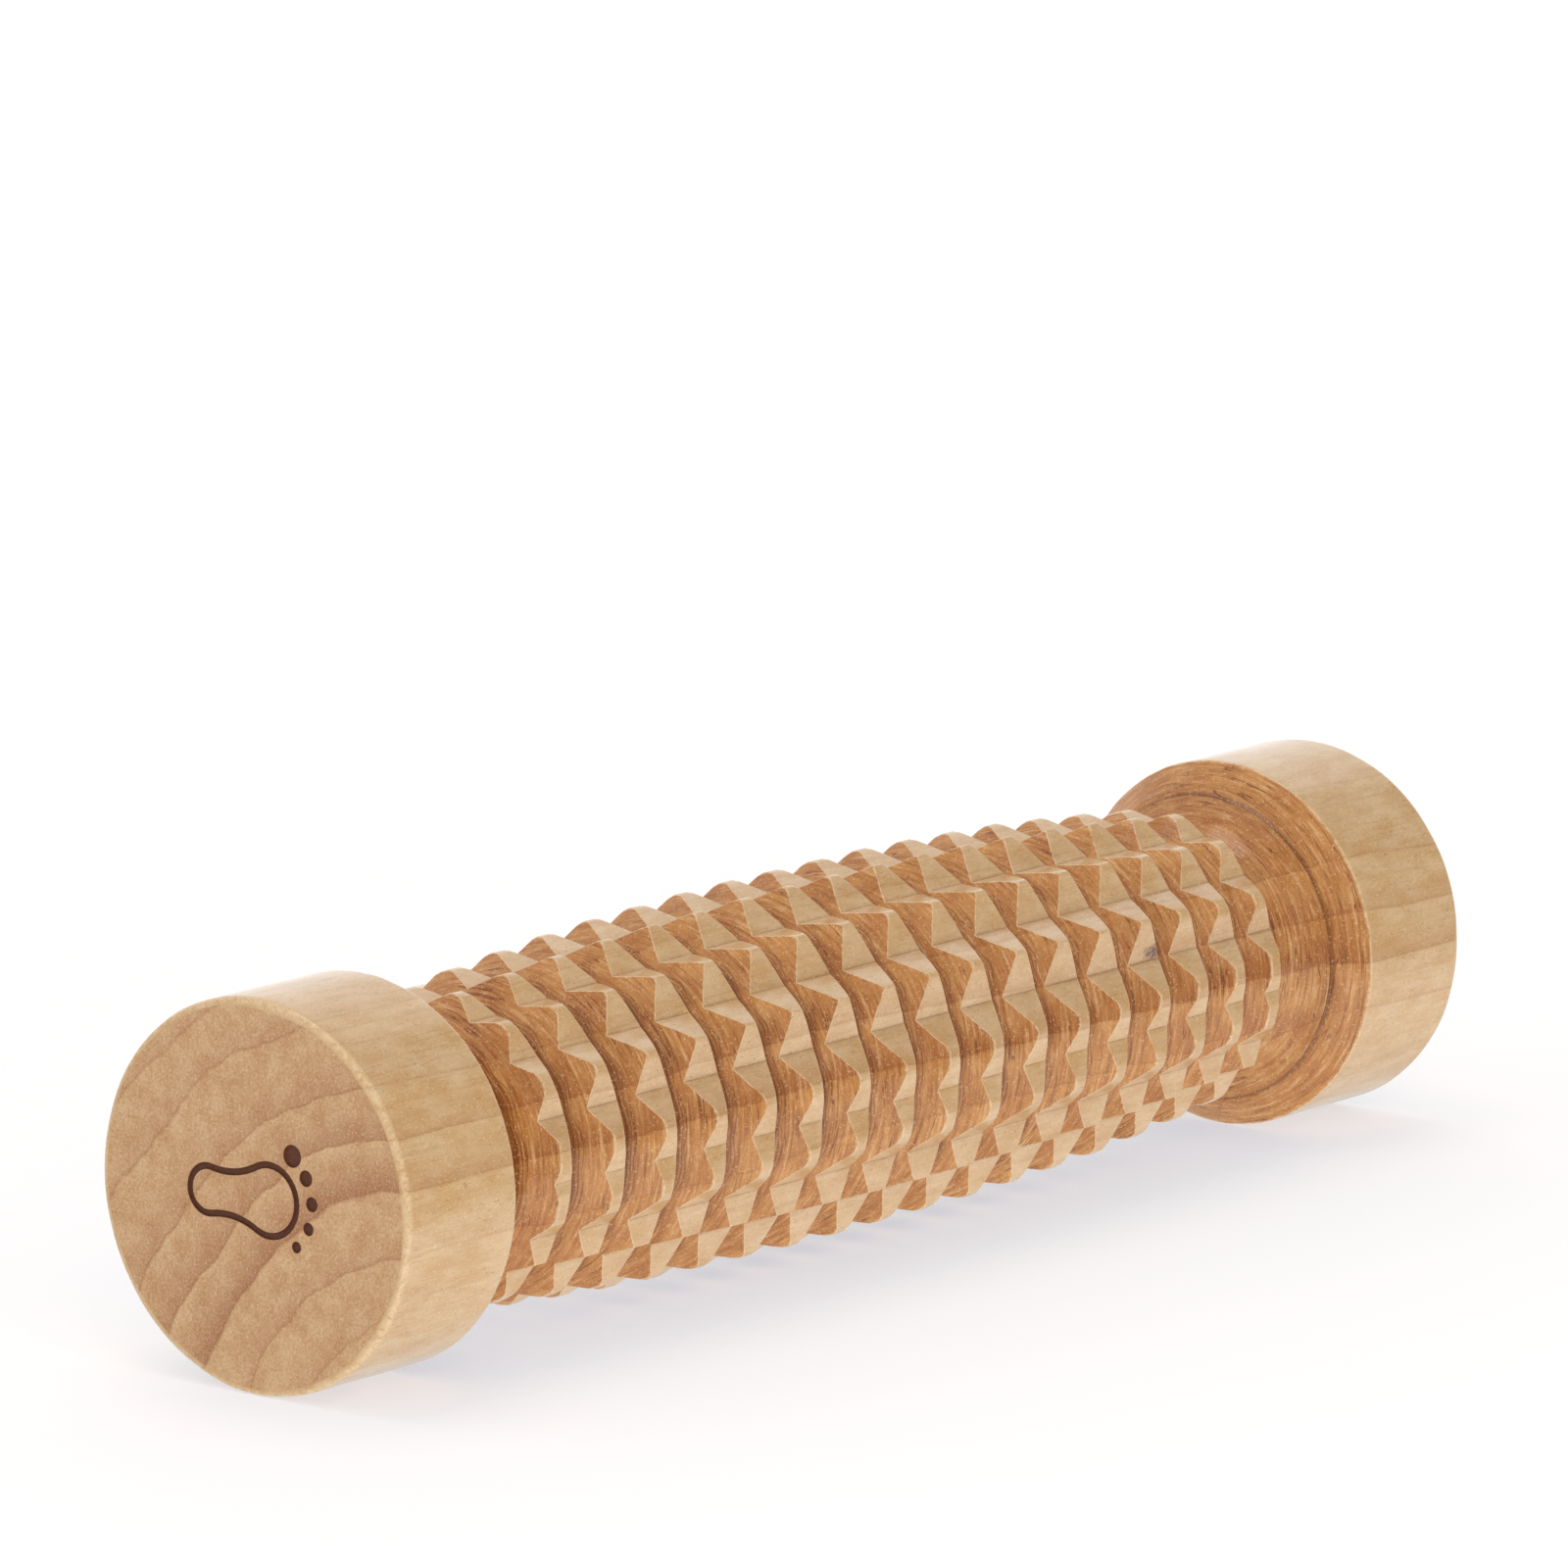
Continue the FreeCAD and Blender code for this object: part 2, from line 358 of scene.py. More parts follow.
def end_rows(side, theta):
    """Profile of one end as (x, radius, kind, worn, hollow), from the face's edge to the neck."""
    shoulder = HALF_LENGTH - CAP_LENGTH
    step = shoulder - SHOULDER_LENGTH
    cove = step - STEP_LENGTH
    neck = end_ring_half_run() + NECK_LENGTH
    rim = RIM_ROUND * (1.0 + RIM_UNEVENNESS * ripple(theta, (2, 3, 5, 9), side + 5))
    corner = CAP_RADIUS - CAP_SINK * (1.0 + ripple(theta, (5, 8, 13, 21), side + 9))
    rows = []
    # The rounded rim. Its pale colour is partly wear, partly a painted highlight.
    for t in np.linspace(0.0, 1.0, 6):
        x = bezier(HALF_LENGTH, HALF_LENGTH, HALF_LENGTH - rim, t)
        rows.append((x, bezier(corner - rim, corner, corner, t), PLAIN, 4 * t * (1 - t), 0.0))
    for t in np.linspace(0.0, 1.0, 8)[1:-1]:
        x = HALF_LENGTH - rim - t * (CAP_LENGTH - rim - CAP_EDGE_WEAR)
        swell = CAP_SWELL * ripple(theta, (3, 7, 11, 17), 31 + int(20 * t) + side)
        rows.append((x, np.minimum(corner + swell, CAP_RADIUS), PLAIN, 0.0, 0.0))
    wear = CAP_EDGE_WEAR * (1.0 + CAP_EDGE_UNEVENNESS * ripple(theta, (7, 19, 31, 43), side + 15))
    slope = np.hypot(SHOULDER_LENGTH, CAP_RADIUS - SHOULDER_RADIUS)
    lean_x = SHOULDER_LENGTH / slope
    lean_radius = (CAP_RADIUS - SHOULDER_RADIUS) / slope
    # The cap's inner edge. Its pale colour is partly wear, partly a painted highlight.
    for t in (0.0, 0.5, 1.0):
        x = bezier(shoulder + wear, shoulder, shoulder - wear * lean_x, t)
        radius = bezier(corner, corner, corner - wear * lean_radius, t)
        rows.append((x, radius, PLAIN if t < 0.5 else TURNED, 4 * t * (1 - t), 0.0))
    for t in (0.4, 0.75, 0.93):
        radius = CAP_RADIUS + t * (SHOULDER_RADIUS - CAP_RADIUS)
        rows.append((shoulder - t * SHOULDER_LENGTH, radius, TURNED, 0.0, 0.2 * t))
    # The groove at the step. Its depth paints shade into it.
    for along, inward, shade_depth in ((0.1, 0.3, 0.8), (-0.15, 0.45, 1.0), (-0.4, 0.42, 0.4)):
        rows.append((step + along, SHOULDER_RADIUS - inward, TURNED, 0.0, shade_depth))
    rise = STEP_RADIUS - NECK_RADIUS
    run = cove - neck
    cove_radius = (run ** 2 + rise ** 2) / (2 * rise)
    full_turn = math.asin(run / cove_radius)
    # Down the cove the painted shade deepens towards the neck.
    for t in np.linspace(1.0, 0.0, 13):
        turn = t * full_turn
        radius = NECK_RADIUS + cove_radius * (1 - math.cos(turn))
        shade_depth = 0.25 + 0.5 * (1 - t) ** 3
        rows.append((neck + cove_radius * math.sin(turn), radius, TURNED, 0.0, shade_depth))
    return [(side * x, radius, kind, wear_and_highlight, shade_depth) for x, radius, kind, wear_and_highlight, shade_depth in rows]


def half_ring(shape, side, floor_radius, floor_x):
    """One half of a ring as rows (x, radius, kind, worn, hollow), from its foot to its middle."""
    centre, radius, top, edge_round, seed = shape
    foot_run = np.abs(floor_x - centre) - RING_LAND / 2
    lean = foot_run / (radius - floor_radius)
    slope = np.hypot(lean, 1.0)
    half_top = RING_LAND / 2 + (radius - top) * lean
    size = np.minimum(edge_round, 0.7 * half_top)
    start = top - size / slope
    rows = []
    # The last number is the depth in the valley, which paints shade at the flank's foot.
    for t in FLANK_STEPS:
        level = floor_radius + t * (start - floor_radius)
        out = RING_LAND / 2 + (radius - level) * lean
        wave = ripple(THETA, (11, 23, 37, 58), seed + int(100 * t))
        rough = FLANK_UNEVENNESS * math.sin(math.pi * t) * wave
        rows.append((centre + side * (out + rough), level, TURNED, 0.0, (1 - t) ** 2))
    for t in EDGE_STEPS:
        out = bezier(half_top + size * lean / slope, half_top, half_top - size, t)
        level = bezier(start, top, top, t)
        kind = TURNED if t < 0.5 else PLAIN
        # Weight of the pale colour on the rounded crest edge: partly wear, partly a painted highlight.
        wear_and_highlight = 4 * t * (1 - t) * np.minimum(1.0, 0.3 / size)
        rows.append((centre + side * out, level, kind, wear_and_highlight, 0.0))
    rows.append((centre + side * 0.4 * half_top, top, PLAIN, 0.0, 0.0))
    return rows


def strip_kinds(rows, side):
    """On the way down a strip has the kind of its lower row, so the kinds move by one."""
    if side < 0:
        return rows
    turned_round = list(reversed(rows))
    shifted = []
    for index, (x, radius, kind, wear_and_highlight, shade_depth) in enumerate(turned_round):
        following = turned_round[index + 1][2] if index + 1 < len(turned_round) else TURNED
        shifted.append((x, radius, following, wear_and_highlight, shade_depth))
    return shifted


def smooth_lowest(first, second, blend):
    """The lower of two radii, with the corner between them rounded."""
    overlap = np.maximum(blend - np.abs(first - second), 0.0) / blend
    return np.minimum(first, second) - overlap ** 2 * blend / 4


RING_SHIFTS = RANDOM.uniform(-RING_SHIFT, RING_SHIFT, RING_COUNT)
CREST_SHIFTS = RANDOM.uniform(-CREST_SHIFT, CREST_SHIFT, RING_COUNT)
VALLEY_SHIFTS = RANDOM.uniform(-VALLEY_SHIFT, VALLEY_SHIFT, RING_COUNT + 1)
THETA = column_angles(0.0)[0]
# 1 on the columns that lie on a flute's bottom line
CREASE = (np.arange(COLUMN_COUNT) % GAP_COLUMNS == 0).astype(float)


def ring_rows(rows, ring):
    centre = (ring - MIDDLE_RING) * RING_PITCH + RING_SHIFTS[ring]
    radius = barrel_radius(ring) + CREST_SHIFTS[ring]
    theta = column_angles(centre)[0]
    planes = fluted_radius(theta, centre)
    top = smooth_lowest(radius, planes, CREST_BLEND)
    top = top + TOP_UNEVENNESS * ripple(THETA, (17, 29, 41, 67), 200 + ring)
    crest = np.clip(1.0 - (radius - planes) / CREST_FADE, 0.0, 1.0)
    edge_round = PLANE_EDGE_ROUND + (CREST_EDGE_ROUND - PLANE_EDGE_ROUND) * crest
    edge_round = edge_round * (1.0 + EDGE_UNEVENNESS * ripple(THETA, (13, 31, 47, 71), 300 + ring))
    shape = (centre, radius, top, edge_round, 400 + 10 * ring)
    for side in (-1, 1):
        between = ring + side * 0.5
        if between < 0 or between > RING_COUNT - 1:
            floor_radius = NECK_RADIUS
            floor_x = side * end_ring_half_run()
        else:
            valley = ring + (side + 1) // 2
            floor_radius = barrel_radius(between) - RING_HEIGHT + VALLEY_SHIFTS[valley]
            floor_x = (between - MIDDLE_RING) * RING_PITCH - side * VALLEY_LAND / 2
            floor_x = floor_x + VALLEY_UNEVENNESS * ripple(THETA, (2, 5, 9, 14), 500 + valley)
        half = half_ring(shape, side, floor_radius, floor_x)
        for x, level, kind, wear_and_highlight, shade_depth in strip_kinds(half, side):
            rows.add(x, level, theta, kind, wear_and_highlight, shade_depth, CREASE)
        if side < 0:
            rows.add(centre, top, theta, PLAIN, crease=CREASE)


def roller_rows():
    rows = Rows()
    first_theta = column_angles(-MIDDLE_RING * RING_PITCH)[0]
    last_theta = column_angles(MIDDLE_RING * RING_PITCH)[0]
    for x, radius, kind, wear_and_highlight, shade_depth in end_rows(-1, first_theta):
        rows.add(x, radius, first_theta, kind, wear_and_highlight, shade_depth)
    for ring in range(RING_COUNT):
        ring_rows(rows, ring)
    for x, radius, kind, wear_and_highlight, shade_depth in strip_kinds(end_rows(1, last_theta), 1):
        rows.add(x, radius, last_theta, kind, wear_and_highlight, shade_depth)
    return rows


# ---------------------------------------------------------------- the mark

def sole_points(offset):
    """The sole: heel and ball circles joined by two concave waist arcs."""
    heel = HEEL_RADIUS + offset
    ball = BALL_RADIUS + offset
    waist = WAIST_RADIUS - offset
    heel_at = -SOLE_LENGTH / 2 + HEEL_RADIUS
    ball_at = SOLE_LENGTH / 2 - BALL_RADIUS
    span = ball_at - heel_at
    run = ((heel + waist) ** 2 - (ball + waist) ** 2 + span ** 2) / (2 * span)
    up = math.sqrt((heel + waist) ** 2 - run ** 2)
    heel_turn = math.atan2(up, run)
    ball_turn = math.atan2(up, run - span)
    points = []
    for turn in np.linspace(-ball_turn, ball_turn, 25)[:-1]:
        points.append((ball_at + ball * math.cos(turn), ball * math.sin(turn)))
    for turn in np.linspace(ball_turn, heel_turn, 13)[:-1]:
        points.append((heel_at + run - waist * math.cos(turn), up - waist * math.sin(turn)))
    for turn in np.linspace(heel_turn, 2 * math.pi - heel_turn, 21)[:-1]:
        points.append((heel_at + heel * math.cos(turn), heel * math.sin(turn)))
    for turn in np.linspace(heel_turn, ball_turn, 13)[:-1]:
        points.append((heel_at + run - waist * math.cos(turn), -up + waist * math.sin(turn)))
    return points


def toe_points(toe, offset):
    diameter = TOE_DIAMETERS[toe]
    ball_at = SOLE_LENGTH / 2 - BALL_RADIUS
    angle = math.radians(BIG_TOE_ANGLE - toe * TOE_SPREAD_ANGLE)
    reach = BALL_RADIUS + TOE_GAP + diameter / 4
    along = ball_at + reach * math.cos(angle)
    up = reach * math.sin(angle)
    size = diameter / 2 + offset
    return [
        (along + size * math.cos(turn), up + size * math.sin(turn))
        for turn in np.linspace(0.0, 2 * math.pi, 25)[:-1]
    ]


def mark_loops():
    """Pairs of loops: the edge on the face, and the edge of the floor."""
    loops = [
        (sole_points(MARK_STROKE / 2), sole_points(MARK_STROKE / 2 - MARK_WALL)),
        (sole_points(-MARK_STROKE / 2), sole_points(-MARK_STROKE / 2 + MARK_WALL)),
    ]
    for toe in range(len(TOE_DIAMETERS)):
        loops.append((toe_points(toe, 0.0), toe_points(toe, -MARK_WALL)))
    return loops


def inside(point, loop):
    """Whether a point is inside a closed outline."""
    crossings = False
    for (ax, ay), (bx, by) in zip(loop, loop[1:] + loop[:1]):
        if (ay > point[1]) != (by > point[1]):
            if point[0] < ax + (point[1] - ay) * (bx - ax) / (by - ay):
                crossings = not crossings
    return crossings


def filled(loops):
    """Triangles that fill the area of closed loops, as indices into the loops' points in order."""
    points = []
    edges = []
    for loop in loops:
        first = len(points)
        points += [Vector(p) for p in loop]
        edges += [(first + i, first + (i + 1) % len(loop)) for i in range(len(loop))]
    made = delaunay_2d_cdt(points, edges, [], 1, 1e-6)
    places, triangles, origins = made[0], made[2], made[3]
    result = []
    for triangle in triangles:
        middle = sum((places[i] for i in triangle), Vector((0.0, 0.0))) / len(triangle)
        result.append(([origins[i][0] for i in triangle], middle))
    return result


def in_mark(point, loops):
    sole_outer, sole_inner = loops[0], loops[1]
    if inside(point, sole_outer) and not inside(point, sole_inner):
        return True
    return any(inside(point, toe) for toe in loops[2:])


# ---------------------------------------------------------------- the mesh

class Mesh:
    """Points, faces and each face's kind."""

    def __init__(self):
        self.points = []
        self.faces = []
        self.kinds = []
        self.wear_and_highlight = np.zeros(0)
        self.shade_depth = np.zeros(0)
        self.crease = np.zeros(0)

    def face(self, corners, kind):
        self.faces.append(corners)
        self.kinds.append(kind)


def face_point(along, up, depth):
    """A point on the -X face. Along runs from the sole's middle towards the toes."""
    return (-HALF_LENGTH + depth, MARK_SHIFT - along, up)


def add_marked_face(mesh, rim):
    """The -X end face with its engraving. The rim is the first row's point numbers."""
    loops = mark_loops()
    on_face = [pair[0] for pair in loops]
    on_floor = [pair[1] for pair in loops]
    rim_points = [(MARK_SHIFT - mesh.points[i][1], mesh.points[i][2]) for i in rim]
    numbers = list(rim)
    floor_numbers = []
    for top_loop, floor_loop in loops:
        first = len(mesh.points)
        mesh.points += [face_point(*p, 0.0) for p in top_loop]
        numbers += range(first, first + len(top_loop))
        first_floor = len(mesh.points)
        mesh.points += [face_point(*p, MARK_DEPTH) for p in floor_loop]
        floor_numbers += range(first_floor, first_floor + len(floor_loop))
        count = len(top_loop)
        inward = top_loop is not loops[1][0]
        for i in range(count):
            j = (i + 1) % count
            wall = [first + i, first + j, first_floor + j, first_floor + i]
            mesh.face(wall if inward else wall[::-1], BURNT)
    for triangle, middle in filled([rim_points] + on_face):
        if not in_mark(middle, on_face):
            mesh.face([numbers[i] for i in triangle], END_GRAIN)
    for triangle, middle in filled(on_floor):
        if in_mark(middle, on_floor):
            mesh.face([floor_numbers[i] for i in triangle], BURNT)


def roller_mesh():
    rows = roller_rows()
    x = np.array(rows.x)
    radius = np.array(rows.radius)
    theta = np.radians(np.array(rows.theta))
    surface = np.stack([x, -radius * np.cos(theta), radius * np.sin(theta)], axis=2)
    mesh = Mesh()
    mesh.points = [tuple(p) for p in surface.reshape(-1, 3)]
    mesh.wear_and_highlight = np.array(rows.wear_and_highlight).ravel()
    mesh.shade_depth = np.array(rows.shade_depth).ravel()
    mesh.crease = np.array(rows.crease).ravel()
    count = COLUMN_COUNT
    for row in range(len(rows.kinds) - 1):
        kind = rows.kinds[row]
        for column in range(count):
            after = (column + 1) % count
            corners = [
                row * count + column,
                (row + 1) * count + column,
                (row + 1) * count + after,
                row * count + after,
            ]
            mesh.face(corners, kind)
    last = (len(rows.kinds) - 1) * count
    add_marked_face(mesh, list(range(count)))
    mesh.face([last + column for column in range(count)], END_GRAIN)
    return mesh


def make_roller():
    source = roller_mesh()
    data = bpy.data.meshes.new("turned_roller")
    data.from_pydata([tuple(c * MM for c in p) for p in source.points], [], source.faces)
    kinds = np.array(source.kinds)
    for name, kind in (("turned", TURNED), ("end_grain", END_GRAIN)):
        values = data.attributes.new(name, "FLOAT", "FACE")
        values.data.foreach_set("value", (kinds == kind).astype(np.float32))
    for name in ("wear_and_highlight", "shade_depth", "crease"):
        values = getattr(source, name)
        padded = np.zeros(len(source.points), np.float32)
        padded[:len(values)] = values
        data.attributes.new(name, "FLOAT", "POINT").data.foreach_set("value", padded)
    data.polygons.foreach_set("material_index", (kinds == BURNT).astype(np.int32))
    data.polygons.foreach_set("use_smooth", np.ones(len(kinds), bool))
    data.validate()
    data.set_sharp_from_angle(angle=math.radians(SHARP_ANGLE))
    roller = bpy.data.objects.new("turned_roller", data)
    bpy.context.scene.collection.objects.link(roller)
    weighted = roller.modifiers.new("flat_planes", "WEIGHTED_NORMAL")
    weighted.mode = "FACE_AREA"
    weighted.keep_sharp = True
    weighted.weight = AREA_WEIGHT
    return roller


# ---------------------------------------------------------------- materials

class Tree:
    """Short calls for building the nodes of a material or of the world."""

    def __init__(self, owner, shader):
        owner.use_nodes = True
        self.nodes = owner.node_tree.nodes
        self.links = owner.node_tree.links
        self.shader = self.nodes[shader]

    def put(self, value, socket):
        if isinstance(value, bpy.types.NodeSocket):
            self.links.new(value, socket)
        else:
            socket.default_value = value

    def node(self, kind, inputs=None, **settings):
        made = self.nodes.new(kind)
        for name, value in settings.items():
            setattr(made, name, value)
        for name, value in (inputs or {}).items():
            self.put(value, made.inputs[name])
        return made

    def maths(self, operation, first, second=0.0, third=0.0, clamp=False):
        made = self.node("ShaderNodeMath", {0: first, 1: second, 2: third},
                         operation=operation, use_clamp=clamp)
        return made.outputs[0]

    def vector(self, operation, first, second=(0.0, 0.0, 0.0)):
        made = self.node("ShaderNodeVectorMath", {0: first, 1: second}, operation=operation)
        return made.outputs[0]

    def noise(self, vector, scale, detail=2.0, roughness=0.5, distortion=0.0):
        made = self.node("ShaderNodeTexNoise", {
            "Vector": vector, "Scale": scale, "Detail": detail,
            "Roughness": roughness, "Distortion": distortion,
        })
        return made.outputs["Fac"]

    def stretch(self, vector, along, across):
        """Coordinates scaled along the axis and across it, for streaks."""
        return self.vector("MULTIPLY", vector, (along, across, across))

    def range(self, value, low, high, out_low=0.0, out_high=1.0):
        made = self.node("ShaderNodeMapRange", {
            "Value": value, "From Min": low, "From Max": high,
            "To Min": out_low, "To Max": out_high,
        })
        return made.outputs["Result"]

    def ramp(self, value, stops):
        made = self.node("ShaderNodeValToRGB", {"Fac": value})
        elements = made.color_ramp.elements
        while len(elements) < len(stops):
            elements.new(0.5)
        for element, (place, grey) in zip(elements, stops):
            element.position = place
            element.color = (grey, grey, grey, 1.0)
        return made.outputs["Color"]

    def mix(self, factor, first, second, blend="MIX"):
        made = self.node("ShaderNodeMix", data_type="RGBA", blend_type=blend)
        self.put(factor, made.inputs[0])
        self.put(first, made.inputs[6])
        self.put(second, made.inputs[7])
        return made.outputs[2]

    def blend(self, factor, first, second):
        """A number between two others."""
        made = self.node("ShaderNodeMix", {0: factor, 2: first, 3: second}, data_type="FLOAT")
        return made.outputs[0]

    def kept_value(self, name):
        """A number that the mesh keeps on its faces or points."""
        return self.node("ShaderNodeAttribute", attribute_name=name).outputs["Fac"]


def new_material(name):
    material = bpy.data.materials.new(name)
    return material, Tree(material, "Principled BSDF")


def colour(red, green, blue):
    """A display colour, 0 to 255, as the linear one that shaders take."""
    linear = []
    for channel in (red, green, blue):
        value = channel / 255.0
        linear.append(value / 12.92 if value <= 0.04045 else ((value + 0.055) / 1.055) ** 2.4)
    return (*linear, 1.0)


def growth_stops():
    """The bands' darkness by distance: a thin dark line, then a slow fade outwards."""
    low, high = RING_SPAN
    stops = [(0.0, 0.1)]
    for edge, line, band in RING_EDGES:
        for distance, level in ((-0.2, 0.04), (0.0, line), (0.3, band), (3.4, band * 0.4)):
            stops.append(((edge + distance - low) / (high - low), level))
    return stops


def wood_position(tree):
    """Place in the wood, in millimetres."""
    coordinates = tree.node("ShaderNodeTexCoord").outputs["Object"]
    made = tree.node("ShaderNodeVectorMath", {0: coordinates, "Scale": 1.0 / MM}, operation="SCALE")
    return made.outputs[0]


def growth_rings(tree, place):
    """Darkness of the growth ring bands at a place."""
    slow = tree.noise(tree.stretch(place, 0.012, 0.05), 1.0, 2.0)
    wavy = tree.noise(tree.stretch(place, 0.04, 0.25), 1.0, 2.0)
    split = tree.node("ShaderNodeSeparateXYZ", {0: place})
    x, y, z = split.outputs
    across = tree.maths("SUBTRACT", y, PITH_Y)
    drift = tree.maths("MULTIPLY_ADD", x, -PITH_DRIFT, -PITH_Z)
    up = tree.maths("ADD", z, drift)
    squares = tree.maths("ADD", tree.maths("MULTIPLY", across, across), tree.maths("MULTIPLY", up, up))
    distance = tree.maths("SQRT", squares)
    distance = tree.maths("ADD", distance, tree.range(slow, 0.3, 0.7, -1.3, 1.3))
    distance = tree.maths("ADD", distance, tree.range(wavy, 0.3, 0.7, -0.3, 0.3))
    fraction = tree.range(distance, *RING_SPAN)
    return tree.ramp(fraction, growth_stops())


def knot(tree, place):
    """A small dark knot in one of the flutes."""
    offset = tree.vector("SUBTRACT", place, KNOT_PLACE)
    reach = tree.node("ShaderNodeVectorMath", {0: tree.stretch(offset, 0.4, 0.9)}, operation="LENGTH")
    uneven = tree.range(tree.noise(place, 1.6, 2.0), 0.3, 0.7, -0.35, 0.35)
    size = tree.maths("ADD", reach.outputs["Value"], uneven)
    return tree.range(size, 0.4, 1.2, 0.9, 0.0)


def plain_wood(tree, place, rings, fibres):
    """Side grain under clear lacquer, as on the caps, the flutes and the crests."""
    mottling = tree.noise(tree.stretch(place, 0.14, 0.3), 1.0, 5.0, 0.65)
    wood = tree.mix(tree.range(mottling, 0.36, 0.64), colour(218, 184, 140), colour(204, 162, 108))
    bands = tree.maths("MULTIPLY", tree.maths("POWER", rings, 1.7), 0.62)
    wood = tree.mix(bands, wood, colour(168, 110, 54))
    streaks = tree.noise(tree.stretch(place, 0.06, 1.1), 1.0, 4.0, 0.7)
    wood = tree.mix(tree.range(streaks, 0.5, 0.78, 0.0, 0.3), wood, colour(168, 112, 56))
    return tree.mix(tree.range(fibres, 0.4, 0.7, 0.0, 0.12), wood, colour(150, 98, 50))


def end_wood(tree, place, rings):
    """End grain: fine grains, cloudy patches and clear growth rings."""
    cloud = tree.noise(place, 0.32, 5.0, 0.7)
    wood = tree.mix(tree.range(cloud, 0.36, 0.64), colour(216, 177, 131), colour(197, 150, 101))
    wood = tree.mix(tree.maths("MULTIPLY", rings, 0.85), wood, colour(152, 86, 42))
    grain = tree.noise(place, 2.6, 3.0, 0.75)
    wood = tree.mix(tree.range(grain, 0.5, 0.66, 0.0, 0.36), wood, colour(152, 94, 48))
    return tree.mix(tree.range(grain, 0.46, 0.34, 0.0, 0.3), wood, colour(240, 210, 166))


def tool_streaks(tree, place):
    """Fine streaks that the lathe tool left round the roller, light to dark."""
    return tree.noise(tree.stretch(place, 3.2, 0.16), 1.0, 4.0, 0.75)


def tool_grooves(tree, place):
    """Long thin grooves from the lathe tool. They come in groups."""
    waves = tree.noise(tree.stretch(place, 1.5, 0.05), 1.0, 2.0)
    middle = tree.maths("ABSOLUTE", tree.maths("SUBTRACT", waves, 0.5))
    groove = tree.range(middle, 0.003, 0.014, 1.0, 0.0)
    groups = tree.noise(place, 0.13, 2.0)
    return tree.maths("MULTIPLY", groove, tree.range(groups, 0.48, 0.58), clamp=True)


def tool_lines_and_valley_shade(tree, place, shade_depth):
    """Dark lines round the foot of each flank where the tool cut in, and painted shade that deepens
    towards the valley floor.
    """
    wobble = tree.noise(tree.stretch(place, 1.0, 0.12), 1.0, 2.0)
    depth = tree.maths("ADD", shade_depth, tree.range(wobble, 0.3, 0.7, -0.03, 0.03))
    return tree.ramp(depth, (
        (0.0, 0.0), (0.36, 0.06), (0.46, 0.15), (0.5, 0.8), (0.54, 0.2),
        (0.61, 0.25), (0.65, 0.9), (0.7, 0.3), (0.78, 0.5), (0.83, 1.0), (0.9, 0.8), (1.0, 0.9),
    ))


def turned_wood(tree, place, wood, rings, streaks, grooves, shade_depth):
    """What the lathe tool left: darker and redder, as it lies across the grain. Painted shade in the
    valleys comes on top.
    """
    dark = tree.mix(1.0, wood, colour(254, 221, 174), "MULTIPLY")
    patches = tree.noise(place, 0.2, 3.0)
    dark = tree.mix(tree.range(patches, 0.4, 0.65, 0.0, 0.5), dark, colour(178, 110, 54))
    dark = tree.mix(tree.maths("MULTIPLY", rings, 0.45), dark, colour(150, 80, 34))
    dark = tree.mix(tree.range(streaks, 0.48, 0.66, 0.0, 0.6), dark, colour(140, 76, 30))
    dark = tree.mix(tree.range(streaks, 0.45, 0.3, 0.0, 0.65), dark, colour(238, 196, 144))
    dark = tree.mix(tree.maths("MULTIPLY", grooves, 0.8), dark, colour(122, 58, 16))
    # Dark tool lines, and painted shade towards the foot of each flank, in the step's groove and down the
    # cove.
    dug_and_shaded = tree.maths("MULTIPLY", tool_lines_and_valley_shade(tree, place, shade_depth), 0.8)
    return tree.mix(dug_and_shaded, dark, colour(108, 52, 18))


